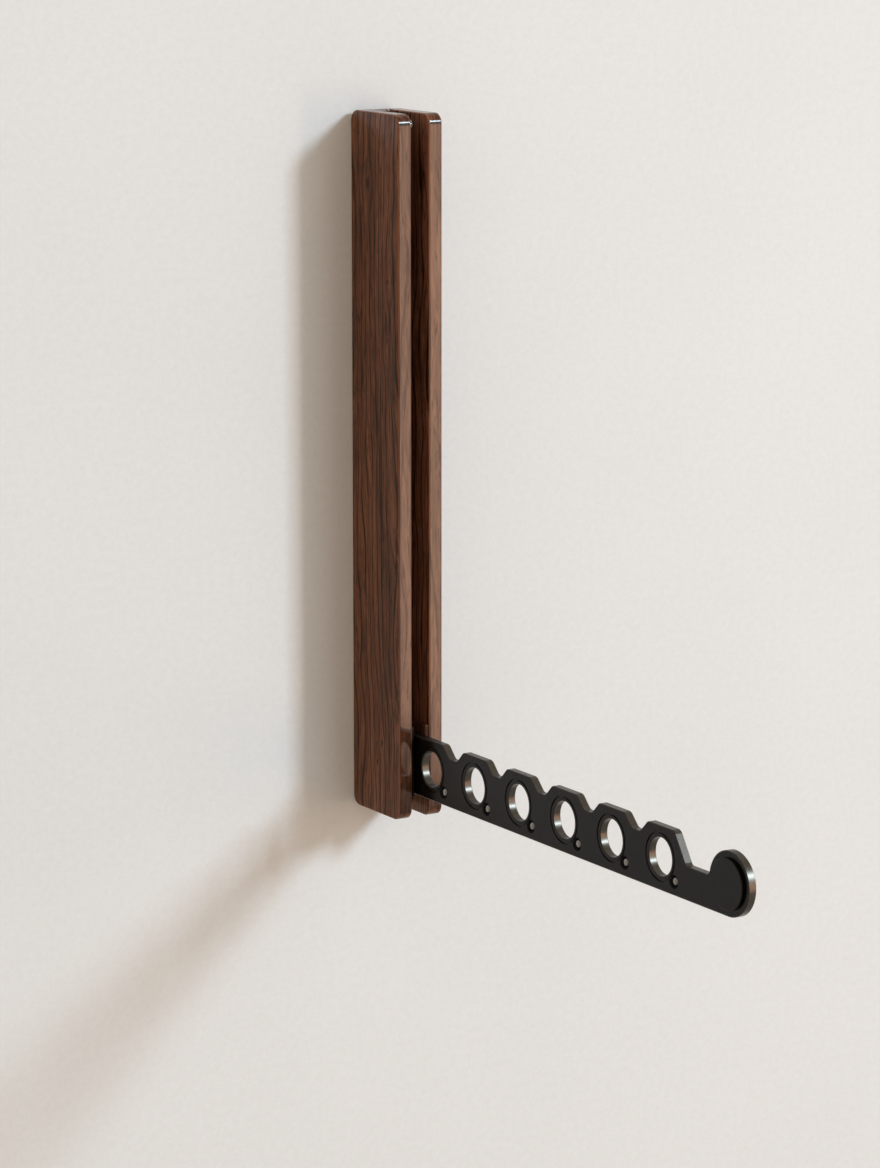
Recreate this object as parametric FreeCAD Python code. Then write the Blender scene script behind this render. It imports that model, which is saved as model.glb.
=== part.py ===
import FreeCAD, Part
import math
import os

# Wall mounted clothes valet: two walnut cheeks glued to a narrow spine make a slot, and a black
# steel arm with hanger holes and notches folds up into it.
# Frame: the wall is the plane Y = 0 and the valet stands out towards -Y. +Z is up, +X is to the
# right of someone facing the wall's front from -Y. The origin is the middle of the back face.
# Millimetres.

V = FreeCAD.Vector
WAY_OUT = V(0, -1, 0)
RIGHT = V(1, 0, 0)

# ---- driving dimensions: the wooden body
BODY_HEIGHT = 400.0
BODY_DEPTH = 51.0
CHEEK_THICKNESS = 8.5
SLOT_WIDTH = 11.5
SPINE_DEPTH = 10.0
CORNER_RADIUS = 6.0
ARRIS_RADIUS = 0.8

# ---- driving dimensions: the arm
ARM_THICKNESS = 5.0
ARM_DEPTH = 34.5
ARM_ABOVE_FOOT = 14.0
FOLD_CLEARANCE = 5.0
ARM_EDGE_CHAMFER = 0.5
PIVOT_EDGE = 6.0
HEEL_RADIUS = 1.5
HOLE_COUNT = 6
FIRST_HOLE_FROM_BODY = 15.5
LAST_HOLE_TO_DISC = 60.5
HOLE_RADIUS = 10.35
HOLE_RISE = 0.7
RING_RADIUS = 13.3
RING_WIDTH = 1.0
RING_DEPTH = 0.6
NOTCH_WIDTH = 21.3
NOTCH_FLOOR = 7.2
NOTCH_DEPTH = 7.0
CREST_RADIUS = 4.0
VALLEY_RADIUS = 4.5
BAY_START = 12.0
BAY_FLANK = 10.8
BAY_DEPTH = 16.5
BAY_RADIUS = 3.0
BOSS_RADIUS = 13.7
BOSS_HEIGHT = 1.8
BOSS_ROUNDING = 0.4

# ---- driving dimensions: the hanger studs beside the holes
STUD_RADIUS = 2.9
STUD_DOME_RADIUS = 3.6
STUD_INSET = 0.1
STUD_REACH = 16.4
STUD_ANGLE = -40.0
STUD_SINK_RADIUS = 3.9
STUD_SINK_DEPTH = 1.5

# ---- driving dimensions: the pivot
PIN_RADIUS = 2.5
PIN_RUNNING = 0.03
SLEEVE_WALL = 1.0
BUSH_RADIUS = 4.0
BUSH_SEAT = 5.5
PAD_THICKNESS = 2.2
PAD_ABOVE_ARM = 5.5
PAD_BELOW_ARM = 1.0
PAD_BACK_GAP = 0.2
PAD_CORNER = 1.5
PAD_ROUNDING = 1.0
WASHER_SEAT = 0.6
WASHER_SEAT_GAP = 0.2
WASHER_RADIUS = 5.0
WASHER_BORE = 2.7
WASHER_GAP = 0.05
DISC_SPRING_HEIGHT = 0.9
DISC_SPRING_GAUGE = 0.35

# ---- driving dimensions: the heel plate and the folding bumper
PLATE_WIDTH = 10.0
PLATE_THICKNESS = 1.5
PLATE_PROUD = 0.75
PLATE_HEIGHT = 24.0
PLATE_BELOW_HEEL = 1.75
PLATE_SCREW_INSET = 5.0
PLATE_SCREW_RADIUS = 1.25
PLATE_SCREW_HEAD = 2.4
PLATE_SCREW_LENGTH = 7.0
BUMPER_SIZE = 10.0
BUMPER_GAP = 0.05

# ---- driving dimensions: the ball catch at the top of the slot
CATCH_FROM_FRONT = 5.0
CATCH_FROM_TOP = 6.1
CATCH_NOSE_RADIUS = 3.0
CATCH_BITE = 0.7
CATCH_RUNNING = 0.05
CATCH_COLLAR_STEP = 0.4
CATCH_COLLAR = 0.75
CATCH_BARREL_DEPTH = 7.0
CATCH_BARREL_WALL = 0.35
CATCH_LIP = 0.6
CATCH_WIRE = 0.4
CATCH_COILS = 4

# ---- driving dimensions: dowels and wall screw holes
DOWEL_COUNT = 4
DOWEL_RADIUS = 2.5
DOWEL_FROM_END = 10.0
DOWEL_BITE = 5.0
WALL_HOLE_RADIUS = 2.25
WALL_HOLE_FROM_TOP = 50.0
WALL_HOLE_SPACING = 250.0
WALL_SINK_RADIUS = 4.5

# ---- places worked out from the sizes
FOOT = -BODY_HEIGHT / 2
TOP = BODY_HEIGHT / 2
SLOT_HALF = SLOT_WIDTH / 2
ARM_HALF = ARM_THICKNESS / 2
ARM_BOTTOM = FOOT + ARM_ABOVE_FOOT
ARM_TOP = ARM_BOTTOM + ARM_DEPTH
ARM_MIDDLE = ARM_BOTTOM + ARM_DEPTH / 2
PLATE_FRONT = SPINE_DEPTH + PLATE_PROUD
PIVOT_REACH = PLATE_FRONT + PIVOT_EDGE
PIVOT_HEIGHT = ARM_TOP - PIVOT_EDGE
ARM_REACH = PIVOT_REACH + TOP - PIVOT_HEIGHT - FOLD_CLEARANCE
DISC_RADIUS = ARM_DEPTH / 2
DISC_REACH = ARM_REACH - DISC_RADIUS
BAY_FLOOR = ARM_TOP - BAY_DEPTH
HOLE_HEIGHT = ARM_MIDDLE + HOLE_RISE
FIRST_HOLE_REACH = BODY_DEPTH + FIRST_HOLE_FROM_BODY
LAST_HOLE_REACH = DISC_REACH - LAST_HOLE_TO_DISC
HOLE_PITCH = (LAST_HOLE_REACH - FIRST_HOLE_REACH) / (HOLE_COUNT - 1)
PAD_FACE = SLOT_HALF - PAD_THICKNESS
SEAT_FACE = PAD_FACE + WASHER_SEAT
COLLAR_RADIUS = CATCH_NOSE_RADIUS + CATCH_COLLAR_STEP
BARREL_BORE = COLLAR_RADIUS + CATCH_RUNNING
BARREL_RADIUS = BARREL_BORE + CATCH_BARREL_WALL


def at(reach, height, across=0.0):
    """A point given by its distance out from the wall, its height and its place across."""
    return V(across, -reach, height)


def rod(start, end, radius):
    """A round bar from one point to another."""
    way = end - start
    return Part.makeCylinder(radius, way.Length, start, way)


def across_rod(reach, height, low, high, radius):
    """A round bar across the valet, from one X to another."""
    return rod(at(reach, height, low), at(reach, height, high), radius)


def block(x_low, x_high, reach_low, reach_high, z_low, z_high):
    """A rectangular block given by its limits across, out from the wall and in height."""
    corner = V(x_low, -reach_high, z_low)
    return Part.makeBox(x_high - x_low, reach_high - reach_low, z_high - z_low, corner)


def rounded_loop(corners):
    """A closed wire through corners (point, radius), with a tangent arc at each rounded one."""
    starts = []
    edges = []
    count = len(corners)
    for index, (corner, radius) in enumerate(corners):
        back = (corners[index - 1][0] - corner).normalize()
        ahead = (corners[(index + 1) % count][0] - corner).normalize()
        half_angle = back.getAngle(ahead) / 2
        tangent = radius / math.tan(half_angle)
        to_middle = (back + ahead).normalize()
        middle = corner + to_middle * (radius / math.sin(half_angle) - radius)
        starts.append((corner + back * tangent, middle, corner + ahead * tangent, radius))
    for index, (arc_start, middle, arc_end, radius) in enumerate(starts):
        if radius > 0:
            edges.append(Part.Arc(arc_start, middle, arc_end).toShape())
        next_start = starts[(index + 1) % count][0]
        if (next_start - arc_end).Length > 1e-6:
            edges.append(Part.makeLine(arc_end, next_start))
    return Part.Wire(edges)


def plate(wire, low, high):
    """The flat outline swept across the valet, from one X to another."""
    wire = wire.copy()
    wire.translate(V(low, 0, 0))
    return Part.Face(wire).extrude(V(high - low, 0, 0))


def edges_on_faces(solid, *x_planes):
    """The edges that lie wholly in one of the given planes across the valet."""
    found = []
    for edge in solid.Edges:
        box = edge.BoundBox
        if any(abs(box.XMin - x) < 1e-4 and abs(box.XMax - x) < 1e-4 for x in x_planes):
            found.append(edge)
    return found


def turned_profile(points, centre):
    """A profile of (along, radius) points turned about the X line through the centre."""
    corners = [centre + V(along, 0, radius) for along, radius in points]
    corners.append(corners[0])
    face = Part.Face(Part.makePolygon(corners))
    return face.revolve(centre, RIGHT, 360)


# ---- wooden body

def cheek_outline():
    """Side profile of the body: a tall rectangle with all four corners rounded."""
    return rounded_loop([
        (at(0, FOOT), CORNER_RADIUS),
        (at(0, TOP), CORNER_RADIUS),
        (at(BODY_DEPTH, TOP), CORNER_RADIUS),
        (at(BODY_DEPTH, FOOT), CORNER_RADIUS),
    ])


def dowel_heights():
    """Heights of the cross dowels, evenly spread between the ends."""
    first = FOOT + DOWEL_FROM_END
    step = (BODY_HEIGHT - 2 * DOWEL_FROM_END) / (DOWEL_COUNT - 1)
    return [first + step * index for index in range(DOWEL_COUNT)]


def cross_dowels(bite=DOWEL_BITE):
    """Beech dowels through the spine that bite into both cheeks."""
    end = SLOT_HALF + bite
    return [across_rod(SPINE_DEPTH / 2, height, -end, end, DOWEL_RADIUS) for height in dowel_heights()]


def cheek(side):
    """One walnut cheek: a board with softened arrises, drilled from inside for dowels and bush."""
    inner = side * SLOT_HALF
    outer = side * (SLOT_HALF + CHEEK_THICKNESS)
    board = plate(cheek_outline(), min(inner, outer), max(inner, outer))
    board = board.makeFillet(ARRIS_RADIUS, edges_on_faces(board, inner, outer))
    seat = across_rod(PIVOT_REACH, PIVOT_HEIGHT, inner, inner + side * BUSH_SEAT, BUSH_RADIUS)
    return board.cut(cross_dowels() + [seat])


def left_cheek():
    """The left cheek also holds the ball catch, in a blind hole near its top front corner."""
    mouth = -SLOT_HALF
    pocket = across_rod(catch_reach(), catch_height(), mouth, mouth - CATCH_BARREL_DEPTH,
                        BARREL_RADIUS)
    return cheek(-1).cut(pocket)


def right_cheek():
    return cheek(1)


def spine_outline():
    """Side profile of the spine, flush with the cheeks at the back, top and foot."""
    return rounded_loop([
        (at(0, FOOT), CORNER_RADIUS),
        (at(0, TOP), CORNER_RADIUS),
        (at(SPINE_DEPTH, TOP), ARRIS_RADIUS),
        (at(SPINE_DEPTH, FOOT), ARRIS_RADIUS),
    ])


def wall_hole_heights():
    """Heights of the two holes for the wall screws."""
    upper = TOP - WALL_HOLE_FROM_TOP
    return [upper, upper - WALL_HOLE_SPACING]


def back_spine():
    """Walnut spine between the cheeks, with countersunk holes for the screws into the wall."""
    spine = plate(spine_outline(), -SLOT_HALF, SLOT_HALF)
    tools = cross_dowels()
    sink = WALL_SINK_RADIUS - WALL_HOLE_RADIUS
    for height in wall_hole_heights():
        tools.append(rod(at(-1, height), at(SPINE_DEPTH + 1, height), WALL_HOLE_RADIUS))
        tools.append(Part.makeCone(WALL_HOLE_RADIUS, WALL_SINK_RADIUS, sink,
                                   at(SPINE_DEPTH - sink, height), WAY_OUT))
    tools.append(heel_plate_block())
    tools += heel_plate_screws()
    return spine.cut(tools)


# ---- heel plate and folding bumper

def heel_plate_block():
    """The strike plate's block, let into the spine and standing a little proud of it."""
    low = ARM_BOTTOM - PLATE_BELOW_HEEL
    half = PLATE_WIDTH / 2
    return block(-half, half, PLATE_FRONT - PLATE_THICKNESS, PLATE_FRONT, low, low + PLATE_HEIGHT)


def heel_plate_screws():
    """Two small countersunk screws through the strike plate into the spine."""
    low = ARM_BOTTOM - PLATE_BELOW_HEEL + PLATE_SCREW_INSET
    high = ARM_BOTTOM - PLATE_BELOW_HEEL + PLATE_HEIGHT - PLATE_SCREW_INSET
    head = PLATE_SCREW_HEAD - PLATE_SCREW_RADIUS
    screws = []
    for height in (low, high):
        shank = rod(at(PLATE_FRONT - PLATE_SCREW_LENGTH, height), at(PLATE_FRONT, height),
                    PLATE_SCREW_RADIUS)
        cone = Part.makeCone(PLATE_SCREW_RADIUS, PLATE_SCREW_HEAD, head,
                             at(PLATE_FRONT - head, height), WAY_OUT)
        screws.append(shank.fuse(cone).removeSplitter())
    return screws


def heel_plate():
    """Steel strike plate that the arm's heel bears on when the arm stands out."""
    return heel_plate_block().cut(heel_plate_screws())


def fold_bumper():
    """Felt pad on the spine that the last hump comes to rest on when the arm is folded."""
    thickness = PLATE_PROUD - BUMPER_GAP
    middle = PIVOT_HEIGHT + LAST_HOLE_REACH - PIVOT_REACH
    half = BUMPER_SIZE / 2
    return block(-half, half, SPINE_DEPTH, SPINE_DEPTH + thickness, middle - half, middle + half)


# ---- pivot

def root_pad(side):
    """Walnut pad on a cheek's inner face, bored for the bush and sunk round it for the washers."""
    low = ARM_BOTTOM - PAD_BELOW_ARM
    high = ARM_TOP + PAD_ABOVE_ARM
    back = PLATE_FRONT + PAD_BACK_GAP
    front = BODY_DEPTH - ARRIS_RADIUS
    outline = rounded_loop([
        (at(back, low), 0),
        (at(back, high), 0),
        (at(front, high), PAD_CORNER),
        (at(front, low), PAD_CORNER),
    ])
    inner = side * PAD_FACE
    outer = side * SLOT_HALF
    pad = plate(outline, min(inner, outer), max(inner, outer))
    pad = pad.makeFillet(PAD_ROUNDING, edges_on_faces(pad, inner))
    seat = across_rod(PIVOT_REACH, PIVOT_HEIGHT, inner, side * SEAT_FACE,
                      WASHER_RADIUS + WASHER_SEAT_GAP)
    return pad.cut([seat, across_rod(PIVOT_REACH, PIVOT_HEIGHT, inner, outer, BUSH_RADIUS)])


def pivot_bush(side):
    """Brass bush in a blind hole of the cheek, flush with the washers' seat, for the pin's end."""
    inner = side * SEAT_FACE
    outer = side * (SLOT_HALF + BUSH_SEAT)
    bush = across_rod(PIVOT_REACH, PIVOT_HEIGHT, inner, outer, BUSH_RADIUS)
    return bush.cut(pivot_pin())


def pivot_pin():
    """Steel pin across the slot, pressed into both bushes."""
    end = SLOT_HALF + BUSH_SEAT - SLEEVE_WALL
    return across_rod(PIVOT_REACH, PIVOT_HEIGHT, -end, end, PIN_RADIUS)


def arm_pivot_sleeve():
    """Bronze sleeve pressed into the arm, which turns on the pin."""
    outside = PIN_RADIUS + PIN_RUNNING + SLEEVE_WALL
    ring = across_rod(PIVOT_REACH, PIVOT_HEIGHT, -ARM_HALF, ARM_HALF, outside)
    bore = across_rod(PIVOT_REACH, PIVOT_HEIGHT, -ARM_HALF, ARM_HALF, PIN_RADIUS + PIN_RUNNING)
    return ring.cut(bore)


def washer(low, high):
    """Flat thrust washer on the pin between two planes across the slot."""
    ring = across_rod(PIVOT_REACH, PIVOT_HEIGHT, low, high, WASHER_RADIUS)
    return ring.cut(across_rod(PIVOT_REACH, PIVOT_HEIGHT, low, high, WASHER_BORE))


def left_thrust_washer():
    """Nylon washer that fills the space between the left pad's seat and the arm."""
    return washer(-SEAT_FACE, -ARM_HALF - WASHER_GAP)


def right_thrust_washer():
    """Thinner nylon washer on the arm's right side, pressed on by the disc spring."""
    return washer(ARM_HALF + WASHER_GAP, SEAT_FACE - DISC_SPRING_HEIGHT)


def disc_spring():
    """Coned spring washer that presses the stack together and gives the arm its friction."""
    low = SEAT_FACE - DISC_SPRING_HEIGHT
    rise = DISC_SPRING_HEIGHT - DISC_SPRING_GAUGE
    section = [
        (low, WASHER_RADIUS),
        (low + rise, WASHER_BORE),
        (low + rise + DISC_SPRING_GAUGE, WASHER_BORE),
        (low + DISC_SPRING_GAUGE, WASHER_RADIUS),
    ]
    return turned_profile(section, at(PIVOT_REACH, PIVOT_HEIGHT))


# ---- arm

def hole_reaches():
    """Distances of the hanger holes out from the wall."""
    return [FIRST_HOLE_REACH + HOLE_PITCH * index for index in range(HOLE_COUNT)]


def arm_outline():
    """Blade outline: heel, tail rounded about the pivot, notches, and hanger bay up to the disc."""
    corners = [
        (at(PLATE_FRONT, ARM_BOTTOM), HEEL_RADIUS),
        (at(PLATE_FRONT, ARM_TOP), PIVOT_EDGE),
    ]
    valley = ARM_TOP - NOTCH_DEPTH
    for hole in hole_reaches()[:-1]:
        middle = hole + HOLE_PITCH / 2
        corners += [
            (at(middle - NOTCH_WIDTH / 2, ARM_TOP), CREST_RADIUS),
            (at(middle - NOTCH_FLOOR / 2, valley), VALLEY_RADIUS),
            (at(middle + NOTCH_FLOOR / 2, valley), VALLEY_RADIUS),
            (at(middle + NOTCH_WIDTH / 2, ARM_TOP), CREST_RADIUS),
        ]
    bay_start = LAST_HOLE_REACH + BAY_START
    corners += [
        (at(bay_start, ARM_TOP), CREST_RADIUS),
        (at(bay_start + BAY_FLANK, BAY_FLOOR), BAY_RADIUS),
        (at(DISC_REACH, BAY_FLOOR), 0),
        (at(DISC_REACH, ARM_BOTTOM), 0),
    ]
    return rounded_loop(corners)


def neck_edges(arm):
    """The edges across the arm where the bay's floor runs into the disc."""
    rise = BAY_FLOOR - ARM_MIDDLE
    corner = at(DISC_REACH - math.sqrt(DISC_RADIUS ** 2 - rise ** 2), BAY_FLOOR)
    found = []
    for edge in arm.Edges:
        middle = edge.CenterOfMass
        if (V(0, middle.y, middle.z) - corner).Length < 0.01:
            found.append(edge)
    return found


def stud_place(hole):
    """Reach and height of the stud beside that hanger hole."""
    angle = math.radians(STUD_ANGLE)
    return hole + STUD_REACH * math.cos(angle), HOLE_HEIGHT + STUD_REACH * math.sin(angle)


def hook_stud(hole):
    """Polished steel pin with domed ends, pressed through the arm beside a hanger hole."""
    reach, height = stud_place(hole)
    end = ARM_HALF - STUD_INSET
    stud = across_rod(reach, height, -end, end, STUD_RADIUS)
    for side in (-1, 1):
        centre = at(reach, height, side * (end - STUD_DOME_RADIUS))
        stud = stud.common(Part.makeSphere(STUD_DOME_RADIUS, centre))
    return stud


def hook_studs():
    return [hook_stud(hole) for hole in hole_reaches()]


def stud_seat(hole, side):
    """The countersink round a stud's end on one face of the arm."""
    reach, height = stud_place(hole)
    bottom = side * (ARM_HALF - STUD_SINK_DEPTH)
    return Part.makeCone(STUD_RADIUS, STUD_SINK_RADIUS, STUD_SINK_DEPTH,
                         at(reach, height, bottom), RIGHT * side)


def ring_groove(hole, side):
    """The shallow groove round a hanger hole on one face of the arm."""
    top = side * (ARM_HALF + RING_DEPTH)
    floor = side * (ARM_HALF - RING_DEPTH)
    outside = across_rod(hole, HOLE_HEIGHT, floor, top, RING_RADIUS)
    return outside.cut(across_rod(hole, HOLE_HEIGHT, floor, top, RING_RADIUS - RING_WIDTH))


def end_boss(side):
    """The raised round grip on one face of the arm's end disc, with a softened rim."""
    top = side * (ARM_HALF + BOSS_HEIGHT)
    boss = across_rod(DISC_REACH, ARM_MIDDLE, 0, top, BOSS_RADIUS)
    return boss.makeFillet(BOSS_ROUNDING, edges_on_faces(boss, top))


def valet_arm():
    """Black steel arm: notched blade with ringed hanger holes, stud seats and a round bossed end."""
    blade = plate(arm_outline(), -ARM_HALF, ARM_HALF)
    disc = across_rod(DISC_REACH, ARM_MIDDLE, -ARM_HALF, ARM_HALF, DISC_RADIUS)
    arm = blade.fuse(disc).removeSplitter()
    arm = arm.makeFillet(BAY_RADIUS, neck_edges(arm))
    holes = []
    tools = [across_rod(PIVOT_REACH, PIVOT_HEIGHT, -SLOT_HALF, SLOT_HALF,
                        PIN_RADIUS + PIN_RUNNING + SLEEVE_WALL)]
    for hole in hole_reaches():
        holes.append(across_rod(hole, HOLE_HEIGHT, -SLOT_HALF, SLOT_HALF, HOLE_RADIUS))
        reach, height = stud_place(hole)
        tools.append(across_rod(reach, height, -SLOT_HALF, SLOT_HALF, STUD_RADIUS))
        for side in (-1, 1):
            tools.append(stud_seat(hole, side))
            tools.append(ring_groove(hole, side))
    arm = arm.cut(holes)
    arm = arm.makeChamfer(ARM_EDGE_CHAMFER, edges_on_faces(arm, -ARM_HALF, ARM_HALF))
    return arm.cut(tools).fuse([end_boss(-1), end_boss(1)]).removeSplitter()


# ---- ball catch

def catch_reach():
    """Distance of the catch's axis out from the wall."""
    return BODY_DEPTH - CATCH_FROM_FRONT


def catch_height():
    return TOP - CATCH_FROM_TOP


def catch_barrel():
    """Steel barrel pressed into the left cheek, with a lip that keeps the plunger in."""
    mouth = -SLOT_HALF
    back = mouth - CATCH_BARREL_DEPTH
    shell = across_rod(catch_reach(), catch_height(), mouth, back, BARREL_RADIUS)
    bore = across_rod(catch_reach(), catch_height(), mouth - CATCH_LIP, back + CATCH_LIP, BARREL_BORE)
    lip = across_rod(catch_reach(), catch_height(), mouth, mouth - CATCH_LIP,
                     CATCH_NOSE_RADIUS + CATCH_RUNNING)
    return shell.cut([bore, lip])


def collar_front():
    """Where the plunger's collar meets the barrel's lip."""
    return -SLOT_HALF - CATCH_LIP - CATCH_RUNNING


def catch_plunger():
    """Steel plunger with a ball nose that stands a little into the path of the arm's tip."""
    nose_centre = -ARM_HALF + CATCH_BITE - CATCH_NOSE_RADIUS
    collar_back = collar_front() - CATCH_COLLAR
    nose = Part.makeSphere(CATCH_NOSE_RADIUS, at(catch_reach(), catch_height(), nose_centre))
    stem = across_rod(catch_reach(), catch_height(), collar_back, nose_centre, CATCH_NOSE_RADIUS)
    collar = across_rod(catch_reach(), catch_height(), collar_back, collar_front(), COLLAR_RADIUS)
    return stem.fuse([nose, collar]).removeSplitter()


def catch_spring():
    """Coil spring of square wire between the barrel's blind end and the plunger's collar."""
    half = CATCH_WIRE / 2
    back = -SLOT_HALF - CATCH_BARREL_DEPTH + CATCH_LIP + half
    front = collar_front() - CATCH_COLLAR - half
    coil_radius = BARREL_BORE - 3 * half
    length = front - back
    helix = Part.makeHelix(length / CATCH_COILS, length, coil_radius)
    corners = []
    for out, up in ((-half, -half), (half, -half), (half, half), (-half, half), (-half, -half)):
        corners.append(V(coil_radius + out, 0, up))
    coil = Part.Wire(helix).makePipeShell([Part.makePolygon(corners)], True, True)
    coil.rotate(V(0, 0, 0), V(0, 1, 0), 90)
    coil.translate(at(catch_reach(), catch_height(), back))
    return coil


PARTS = {
    "left_cheek": left_cheek,
    "right_cheek": right_cheek,
    "back_spine": back_spine,
    "cross_dowels": cross_dowels,
    "left_root_pad": lambda: root_pad(-1),
    "right_root_pad": lambda: root_pad(1),
    "left_pivot_bush": lambda: pivot_bush(-1),
    "right_pivot_bush": lambda: pivot_bush(1),
    "pivot_pin": pivot_pin,
    "left_thrust_washer": left_thrust_washer,
    "right_thrust_washer": right_thrust_washer,
    "disc_spring": disc_spring,
    "heel_plate": heel_plate,
    "heel_plate_screws": heel_plate_screws,
    "fold_bumper": fold_bumper,
    "valet_arm": valet_arm,
    "arm_pivot_sleeve": arm_pivot_sleeve,
    "hook_studs": hook_studs,
    "catch_barrel": catch_barrel,
    "catch_plunger": catch_plunger,
    "catch_spring": catch_spring,
}

os.makedirs("parts", exist_ok=True)
for name, make in PARTS.items():
    made = make()
    shape = Part.makeCompound(made) if isinstance(made, list) else made
    shape.exportStep("parts/" + name + ".step")
    print(name, len(shape.Solids), "solids", round(shape.Volume, 2), "mm3", shape.isValid())
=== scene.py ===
import bpy
import math
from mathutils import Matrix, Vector


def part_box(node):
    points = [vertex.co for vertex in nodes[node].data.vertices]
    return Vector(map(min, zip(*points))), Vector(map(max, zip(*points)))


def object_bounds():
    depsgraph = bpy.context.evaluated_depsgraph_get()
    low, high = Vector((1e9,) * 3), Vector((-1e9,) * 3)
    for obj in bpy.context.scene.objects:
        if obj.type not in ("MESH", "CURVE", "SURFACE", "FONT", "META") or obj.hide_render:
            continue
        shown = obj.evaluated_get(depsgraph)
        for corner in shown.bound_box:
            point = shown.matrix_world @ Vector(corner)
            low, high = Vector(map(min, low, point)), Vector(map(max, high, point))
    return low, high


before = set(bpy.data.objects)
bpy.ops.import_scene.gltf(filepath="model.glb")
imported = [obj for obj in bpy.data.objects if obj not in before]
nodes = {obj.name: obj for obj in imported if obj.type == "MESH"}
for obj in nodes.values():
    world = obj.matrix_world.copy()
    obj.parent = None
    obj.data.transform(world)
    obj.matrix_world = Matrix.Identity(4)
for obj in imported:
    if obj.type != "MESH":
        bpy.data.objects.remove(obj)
cad_low, cad_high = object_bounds()
bpy.ops.object.select_all(action="DESELECT")


# ---- camera
# A long lens on a tripod, left of the valet and a little above its middle, turned 32 degrees to the
# right and tipped 11 degrees down.
CAMERA_PLACE = (-1.16059808, -1.93674823, 0.36521921)
CAMERA_TIP = 10.96827
CAMERA_TURN = 31.89294
LENS_MM = 123.2877
SENSOR_MM = 36.0

camera_data = bpy.data.cameras.new("camera")
camera_data.lens = LENS_MM
camera_data.sensor_width = SENSOR_MM
camera = bpy.data.objects.new("camera", camera_data)
camera.location = CAMERA_PLACE
camera.rotation_euler = (math.radians(90 - CAMERA_TIP), 0, math.radians(-CAMERA_TURN))
bpy.context.scene.collection.objects.link(camera)
bpy.context.scene.camera = camera
bpy.context.scene.view_settings.view_transform = "Standard"


# ---- studio light
# A cool softbox high on the right throws the one clear shadow, and a nearer, weaker one softens its edge.
# A small warm panel, low on the right, is what the polished front edges mirror, with a little card under
# it for the right cheek's foot, and warm pale walls all round fill the rest.
KEY_WAY = Vector((0.54, -0.722, 0.417)).normalized()
KEY_DISTANCE = 8.0
KEY_SIZE = (1.25, 1.55)
KEY_WATTS = 373.0
KEY_COLOUR = "#DAEFFF"
PANEL_WAY = Vector((0.519, -0.833, -0.112)).normalized()
PANEL_DISTANCE = 2.42
PANEL_SIZE = (0.2, 0.82)
PANEL_WATTS = 5.2
PANEL_COLOUR = "#FFCBAD"
CARD_WAY = Vector((0.5095, -0.81, -0.2903)).normalized()
CARD_DISTANCE = 2.46
CARD_SIZE = (0.1, 0.066)
CARD_WATTS = 0.21
FILL_WAY = Vector((0.36, -0.88, 0.3)).normalized()
FILL_DISTANCE = 3.0
FILL_SIZE = (1.25, 1.2)
FILL_WATTS = 9.6
FILL_COLOUR = "#E8FAFF"
STUDIO_COLOUR = "#FFEAD3"
STUDIO_STRENGTH = 0.585


def linear(colour):
    """The linear RGBA of an sRGB hex colour."""
    channels = [int(colour[place:place + 2], 16) / 255 for place in (1, 3, 5)]
    return tuple(c / 12.92 if c <= 0.04045 else ((c + 0.055) / 1.055) ** 2.4 for c in channels) + (1.0,)


def softbox(name, way, distance, size, watts, colour):
    """A flat rectangular lamp that faces the valet from the given direction."""
    lamp = bpy.data.lights.new(name, "AREA")
    lamp.shape = "RECTANGLE"
    lamp.size, lamp.size_y = size
    lamp.energy = watts
    lamp.color = linear(colour)[:3]
    holder = bpy.data.objects.new(name, lamp)
    holder.location = way * distance
    holder.rotation_euler = way.to_track_quat("Z", "Y").to_euler()
    holder.visible_camera = False
    bpy.context.scene.collection.objects.link(holder)


softbox("key_softbox", KEY_WAY, KEY_DISTANCE, KEY_SIZE, KEY_WATTS, KEY_COLOUR)
softbox("low_panel", PANEL_WAY, PANEL_DISTANCE, PANEL_SIZE, PANEL_WATTS, PANEL_COLOUR)
softbox("low_card", CARD_WAY, CARD_DISTANCE, CARD_SIZE, CARD_WATTS, PANEL_COLOUR)
softbox("fill_softbox", FILL_WAY, FILL_DISTANCE, FILL_SIZE, FILL_WATTS, FILL_COLOUR)

world = bpy.data.worlds.new("studio")
world.use_nodes = True
backdrop = world.node_tree.nodes["Background"]
backdrop.inputs["Color"].default_value = linear(STUDIO_COLOUR)
backdrop.inputs["Strength"].default_value = STUDIO_STRENGTH
bpy.context.scene.world = world


# ---- wall and floor of the studio
# The valet hangs on a painted plaster wall over a pale floor. The wall is one-sided and is open behind
# the body, so the valet's back is seen and lit from behind.
WALL_SIZE = 3.2
WALL_BEHIND = 0.0002
OPEN_INSET = 0.002
PLASTER_COLOUR = "#EAE9E8"
PLASTER_ROUGH = 0.9
PLASTER_GLOSS = 0.1
CLOUDS_MM = 180.0
CLOUD_TONE = 0.975
ROLLER_MARKS_MM = 4.0
ROLLER_TONE = 0.93
ROLLER_RELIEF_MM = 0.5
ROLLER_RELIEF_SHARE = 0.05
NOISE_LOW = 0.3          # a noise texture seldom leaves the range between these two
NOISE_HIGH = 0.7
FLOOR_BELOW = 1.6
SCREED_COLOUR = "#BDB8B0"
SCREED_ROUGH = 0.7
SCREED_GLOSS = 0.2
SCREED_TONE = 0.94


def add_node(tree, kind, inputs, **settings):
    """Adds a node: inputs are values or (node, output) links, settings its own properties."""
    node = tree.nodes.new(kind)
    for key, value in settings.items():
        if key == "stops":
            ramp = node.color_ramp.elements
            for place, colour in value[2:]:
                ramp.new(place)
            for element, (place, colour) in zip(ramp, sorted(value)):
                element.position = place
                element.color = colour
        else:
            setattr(node, key, value)
    for key, value in inputs.items():
        if isinstance(value, tuple) and isinstance(value[0], bpy.types.Node):
            tree.links.new(value[0].outputs[value[1]], node.inputs[key])
        else:
            node.inputs[key].default_value = value
    return node


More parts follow.
